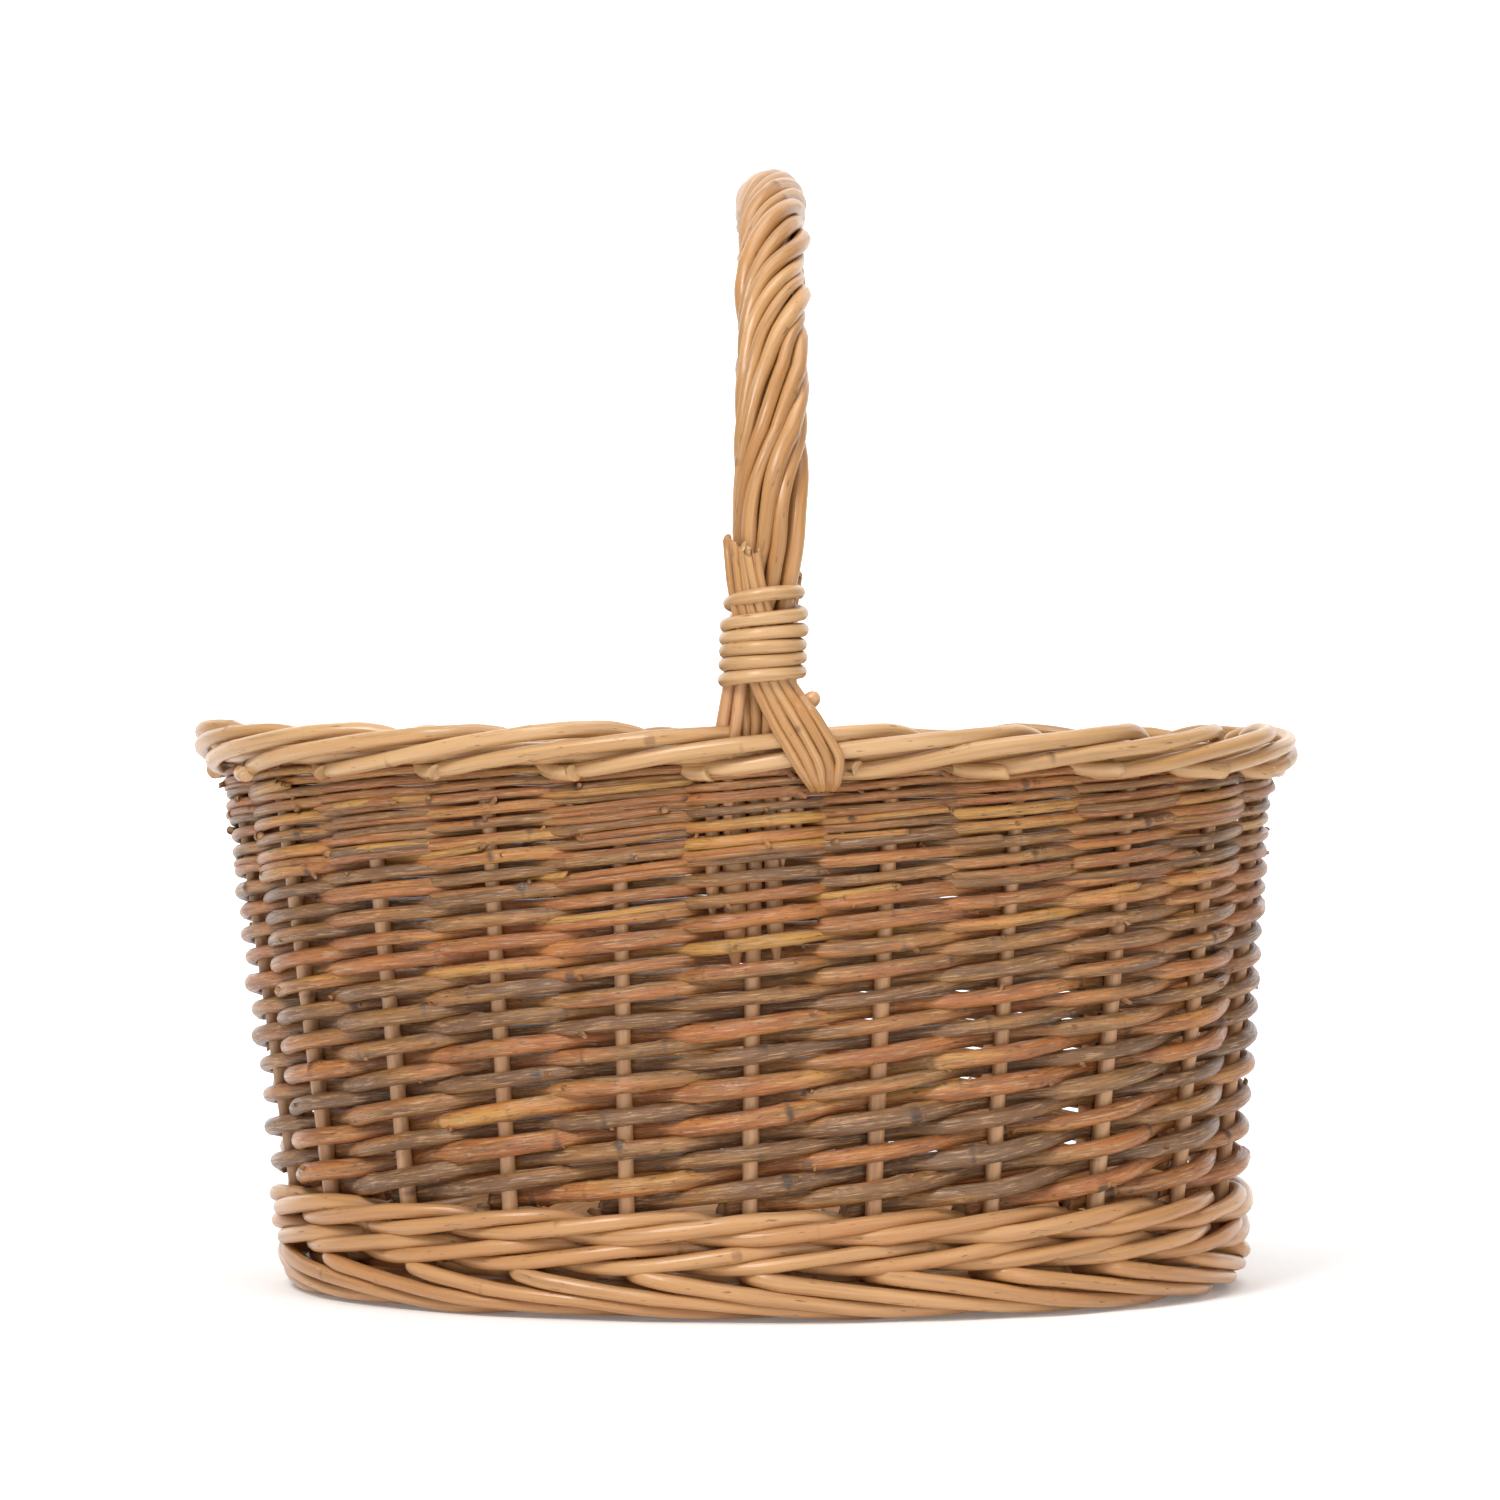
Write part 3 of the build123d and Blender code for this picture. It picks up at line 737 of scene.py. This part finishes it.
def add_border(willow):
    """The twenty-two rolled stakes, and the thick rod that they are rolled round: one level lap in the
    hollow in their middle."""
    lap = np.arange(0.4, STAKES + 0.8, 1 / 14)
    luck = np.random.default_rng(940)
    core = Rod(on_wall(lap, 2.6, 210.8 + 0.2 * drift(lap, 5, luck)), 4.2, luck, tone=0.8, knots=90.0, knot_size=0.3)
    add_piece("rim_border_rods", [border_rod(k) for k in range(STAKES)] + [core], willow, "rim_border", "rim_border")


# ---------------------------------------------------------------- base
BASE_RINGS = 41
FIRST_RING = np.array([16.0, 13.5])  # half length and half width of the smallest ring
BASE_MARGIN = 2.5


def add_base(willow, sticks):
    """The oval slath: sticks from the frame's boxes, and rings of thin rods that pass over and under
    them in turn, so that each ring goes the other way from the last."""
    middle, reach = (BASE_LOW + BASE_HIGH) / 2, (BASE_HIGH - BASE_LOW) / 2 - BASE_MARGIN
    offsets = []
    for k in range(1, 7):
        a, b = box_mm(f"base_cross_stick_{k}")
        x, half = (a[0] + b[0]) / 2, (b[1] - a[1]) / 2
        offsets.append(x - middle[0])
        luck = np.random.default_rng(1100 + k)
        y = np.linspace(-half, half, 60)
        path = np.stack([x + 0 * y, y, BASE_LEVEL + 0 * y], -1)
        rod = Rod(path, 4.5, luck, knots=80.0, knot_size=0.4, sides=14)
        add_piece(f"cross_stick_{k}_rod", [rod], sticks, "base_sticks", f"base_cross_stick_{k}")
    for k in range(1, 4):
        a, b = box_mm(f"base_long_stick_{k}")
        luck = np.random.default_rng(1200 + k)
        x = np.linspace(a[0], b[0], 90)
        path = np.stack([x, (a[1] + b[1]) / 2 + 0 * x, BASE_LEVEL + 0 * x], -1)
        rod = Rod(path, 3.15, luck, knots=90.0, knot_size=0.4, sides=12)
        add_piece(f"long_stick_{k}_rod", [rod], sticks, "base_sticks", f"base_long_stick_{k}")
    rods = []
    for ring in range(BASE_RINGS):
        luck = np.random.default_rng(1300 + ring)
        share = ring / (BASE_RINGS - 1)
        a, b = FIRST_RING + (reach[:2] - FIRST_RING) * share
        t = np.linspace(0, TURN, int(60 + 170 * share)) + luck.uniform(0, TURN)
        x, y = a * np.cos(t), b * np.sin(t)
        crossed = np.array([-a] + [o for o in offsets if abs(o) < a - 6] + [a])
        count = np.interp(x, crossed, np.arange(len(crossed)))
        count = np.where(y > 0, 2 * (len(crossed) - 1) - count, count)
        lift = 6.0 * np.cos(math.pi * (count + ring))
        path = np.stack([middle[0] + x, y, BASE_LEVEL + lift], -1)
        rods.append(Rod(path, 1.8 * luck.uniform(0.9, 1.1), luck, knots=90.0, knot_size=0.4, sides=8))
    add_piece("base_weave_rods", rods, willow, "base_weave", "base_weave")


# ---------------------------------------------------------------- handle
SPRING_LEVEL, HALF_SPAN = 279.0, 152.0
ROPING_REACH = 10.4
ROPING_RODS = 10


def leg_lean(z):
    """How far the legs stand to the left of the arch's plane, less and less up the leg."""
    return np.interp(z, [205, 235, 250, 280, 310, 350], [-5.5, -4.4, -3.6, -2.2, -1.2, 0.0])


def half_turn_axis(z):
    """The upright line that the front leg's rods are turned half round to make the back leg's: the
    arch's plane at the border, and the leg's own middle from the binding upwards."""
    return HANDLE_X + np.where(z < 240, np.interp(z, [205, 240], [0.0, leg_lean(240)]), leg_lean(z))


def arch_line(count):
    """Points up the front leg, over the half round, and down the back leg, evenly spaced, with the
    outward direction in the arch's plane."""
    rise = HANDLE_TOP - ROPING_REACH - 4.4 - SPRING_LEVEL
    leg_z = np.linspace(206, SPRING_LEVEL - 12, 8)
    leg_y = through(leg_z, [206, 232, 262, SPRING_LEVEL - 5], [-149.4, -150.6, -151.8, -151.9])
    t = np.linspace(0, math.pi, 49)
    arch = np.stack([-HALF_SPAN * np.cos(t), SPRING_LEVEL + rise * np.sin(t)], -1)
    front = np.stack([leg_y, leg_z], -1)
    line = np.concatenate([front, arch, front[::-1] * (-1, 1)])
    length = np.concatenate([[0], np.cumsum(np.linalg.norm(np.diff(line, axis=0), axis=1))])
    at = np.linspace(0, length[-1], count)
    yz = through(at, length, line)
    slope = np.gradient(yz, at, axis=0)
    slope /= np.linalg.norm(slope, axis=1, keepdims=True)
    x = HANDLE_X + leg_lean(yz[:, 1])
    x = np.where(yz[:, 0] > 0, 2 * half_turn_axis(yz[:, 1]) - x, x)
    middle = np.stack([x, yz[:, 0], yz[:, 1]], -1)
    outward = np.stack([np.zeros(count), -slope[:, 1], slope[:, 0]], -1)
    return middle, outward, at


def add_handle(willow, bow_wood):
    """The bow, and ten rods roped round it. Each is a helix whose lay opens from steep at the
    bindings to slanting over the top. Their shares of the way round change smoothly along the handle
    and always fill it, with one empty share for a gap, so rods that swell push their neighbours."""
    middle, outward, at = arch_line(340)
    total = at[-1]
    from_end = np.minimum(at, total - at)
    luck = np.random.default_rng(1500)
    bow_radius = np.interp(from_end, [0, 25, 50], [4.0, 5.0, 7.5])
    bow = Rod(middle, bow_radius, luck, knots=0, sides=20, up=np.array([1.0, 0, 0]))
    add_piece("handle_bow_rod", [bow], bow_wood, "handle_bow", "handle_bow")
    lay = np.radians(np.interp(from_end, [0, 60, 80, 115, 150, 200, 260], [3, 6, 10, 16, 24, 25, 24]))
    reach = np.interp(from_end, [0, 20, 40, 66, 85], [5.6, 7.4, 8.8, 9.3, ROPING_REACH])
    turn = np.concatenate([[0], np.cumsum(np.tan(lay[1:]) / ROPING_REACH * np.diff(at))])
    side = np.array([1.0, 0, 0])
    swelling = [luck.uniform(0.84, 1.15) + 0.13 * drift(at, 110, luck) for _ in range(ROPING_RODS)]
    gap = np.clip(0.2 + 0.35 * drift(at, 90, luck), 0.02, 0.5)
    shares = np.array(swelling + [gap])
    shares *= TURN / shares.sum(0)
    middles = np.cumsum(shares, axis=0) - shares / 2
    rods = []
    for k in range(ROPING_RODS):
        luck = np.random.default_rng(1510 + k)
        radius = np.clip(shares[k] * reach / 2 * np.cos(lay) * 0.99, 1.2, 3.7)
        lift = reach + (radius - 2.9) * 0.7 + 0.5 * drift(at, 70, luck)
        angle = middles[k] + turn + 0.05 * drift(at, 60, luck)
        away = np.cos(angle)[:, None] * outward + np.sin(angle)[:, None] * side
        rods.append(Rod(middle + lift[:, None] * away, radius, luck, knots=85.0, knot_size=0.45, sides=14, up=away))
    add_piece("handle_roping_rods", rods, willow, "handle_roping", "handle_roping")


def to_side(points, back):
    """The same points on the front, or turned half round the leg's upright axis for the back."""
    if not back:
        return points
    points = points * (-1, -1, 1)
    points[:, 0] += 2 * half_turn_axis(points[:, 2])
    return points


def add_bindings(willow):
    """One thin rod wound six times round the foot of the roping as a leaning helix, rising to the
    right in front, the last turn a little apart."""
    levels = BINDING_BOTTOM + np.array([0.0, 2.6, 5.2, 10.4, 15.3, 20.1, 25.3, 34.0, 36.0])
    for back, name in ((False, "front"), (True, "back")):
        luck = np.random.default_rng(1600 + back)
        turns = np.linspace(-0.45, 5.5, 430)
        level = through(turns, [-1, -0.5, 0, 1, 2, 3, 4, 5, 6], levels)
        angle = TURN * turns - math.pi / 2
        last = np.clip((turns - 4.4) / 0.35, 0, 1)
        reach = 13.8 - 1.5 * last + 0.3 * drift(turns, 1.3, luck)
        x = HANDLE_X + leg_lean(level) + 0.2 - 0.8 * last + reach * np.cos(angle)
        y = -BUNDLE_Y - 1.1 + (15.7 + 0.3 * drift(turns, 1.1, luck)) * np.sin(angle)
        z = level + 0.4 * np.cos(angle) + 0.35 * drift(turns, 0.9, luck)
        tuck = np.exp(-(((turns - 5.5) / 0.12) ** 2)) + np.exp(-(((turns + 0.45) / 0.12) ** 2))
        y = y - 3.0 * tuck
        path = to_side(np.stack([x, y, z], -1), back)
        radius = 2.6 * (1 + 0.06 * drift(turns, 1.2, luck))
        rod = Rod(path, radius, luck, tone=0.3, knots=90, knot_size=0.3, sides=12)
        add_piece(f"{name}_binding_rod", [rod], willow, "binding", f"{name}_binding")


LASHING_STATIONS = np.array([  # x of the first rod, step to the next, y, height
    (-5.8, 2.5, -167.6, 291.0), (-3.6, 2.9, -166.4, 268.0), (0.2, 3.2, -165.4, 251.0), (4.2, 3.4, -165.4, 236.5),
    (10.6, 4.2, -165.0, 222.5), (16.6, 4.3, -165.2, 212.0), (20.4, 3.7, -164.5, 206.0), (23.6, 2.7, -161.4, 200.8),
    (26.0, 1.6, -155.5, 198.0),
])


def add_lashings(willow):
    """Five thin rods: cut ends beside the roping, down under the binding, then slanting over the
    border and tucked under it."""
    for back, name in ((False, "front"), (True, "back")):
        rods = []
        for k in range(5):
            luck = np.random.default_rng(1700 + 10 * back + k)
            at = np.linspace(0, len(LASHING_STATIONS) - 1, 80)
            x, pitch, y, z = through(at, np.arange(len(LASHING_STATIONS)), LASHING_STATIONS).T
            z = z - np.clip(1 - at, 0, 1) * (1.2 * k + luck.uniform(0, 1))
            x = x + pitch * k + 0.25 * drift(at, 3, luck)
            aside = np.clip(x - HANDLE_X - leg_lean(z), -14.6, 14.6)
            round_bundle = (15 - np.sqrt(15**2 - aside**2)) * np.clip((z - 226) / 14, 0, 1)
            path = np.stack([x, y + round_bundle - 0.3 * (k % 2) + 0.2 * drift(at, 3, luck), z], -1)
            radius = np.interp(at, [0, 1.5, 3.2], [1.65, 1.8, 1.85]) * luck.uniform(0.93, 1.07)
            path, up = to_side(path, back), np.array([1.0, 0, 0.6])
            rods.append(Rod(path, radius, luck, knots=60.0, knot_size=0.35, cuts=(1.4, 0.5), sides=12, up=up))
        add_piece(f"{name}_lashing_rods", rods, willow, "lashing", f"{name}_lashing")


LEG_RODS = (  # x at the border, x at the tip, height of the tip, radius, how far out it lies
    (-11.0, -11.3, 147.0, 2.7, 1.0), (-5.2, -5.6, 174.0, 2.2, 4.2), (-3.4, -2.7, 129.7, 4.3, 0.0),
    (9.9, 12.5, 131.5, 3.2, 0.6), (15.6, 14.6, 168.0, 2.6, 3.4), (20.4, 19.3, 172.0, 2.3, 1.5),
)


def add_leg_rods(willow):
    """The ends of the roping, pushed down into the weave beside the stake, with pointed tips, and in
    front one cut end that shows under the binding."""
    for back, name in ((False, "front"), (True, "back")):
        rods = []
        for k, (top_x, tip_x, tip_z, radius, out) in enumerate(LEG_RODS):
            luck = np.random.default_rng(1800 + 10 * back + k)
            bundle = HANDLE_X + leg_lean(BORDER_TOP + 14)
            z = np.linspace(tip_z, BORDER_TOP + 16, 70)
            x = np.interp(z, [tip_z, 200, BORDER_TOP + 14], [tip_x, top_x, bundle + (top_x - 5) * 0.70])
            middle, a, b = wall_oval(z)
            y = -b * np.sqrt(1 - ((x - middle) / a) ** 2) - out * np.interp(z, [205, 225], [1, 1.6])
            shape = radius * np.clip(((z - tip_z) / 15) ** 0.7, 0.12, 1)
            path = to_side(np.stack([x, y, z], -1), back)
            rods.append(Rod(path, shape, luck, knots=70.0, knot_size=0.4, sides=12, up=np.array([1.0, 0, 0])))
        if not back:
            t = np.linspace(0, 1, 14)[:, None]
            end = np.array([13.0, -151.0, 222.0]) + t * np.array([14.5, -9.5, 10.0])
            thick = 3.1 * np.sqrt(np.clip(1 - ((t[:, 0] - 0.8) / 0.2).clip(0, 1) ** 2 * 0.8, 0, 1))
            rods.append(Rod(end, thick, np.random.default_rng(1890), knots=0, sides=12, cuts=(0, 0.1)))
        add_piece(f"{name}_leg_rods_bundle", rods, willow, "leg_rods", f"{name}_leg_rods")


# ---------------------------------------------------------------- the basket
add_camera()
add_room()
BARK = brown_bark()
BUFF = buff_willow("buff_willow", (0.57, 0.315, 0.134), (0.46, 0.208, 0.073))
BORDER_BUFF = buff_willow("border_willow", (0.60, 0.368, 0.177), (0.47, 0.246, 0.089))
# the handle's willow hue is its own, but this finish is painted darker as painted shade, in place of the shade the
# roping's rods cast on each other; the lashings share it
HANDLE_BUFF_PAINTED_DARKER = buff_willow("handle_willow_painted_darker", (0.545, 0.305, 0.127), (0.425, 0.196, 0.062))
# the stakes' orange-buff hue is their own, but this finish is painted lighter as painted light on the stakes; the leg
# rods share it
STAKE_BUFF_PAINTED_LIGHTER = buff_willow("stake_willow_painted_lighter", (0.66, 0.375, 0.185), (0.57, 0.285, 0.120), 0.6)
STICKS = buff_willow("stick_willow", (0.48, 0.28, 0.13), (0.38, 0.20, 0.08))
add_siding(BARK)
add_stakes(STAKE_BUFF_PAINTED_LIGHTER)
add_wales(BUFF)
add_foot(BUFF)
add_border(BORDER_BUFF)
add_base(BUFF, STICKS)
add_handle(HANDLE_BUFF_PAINTED_DARKER, STICKS)
add_bindings(BORDER_BUFF)
add_lashings(HANDLE_BUFF_PAINTED_DARKER)
add_leg_rods(STAKE_BUFF_PAINTED_LIGHTER)
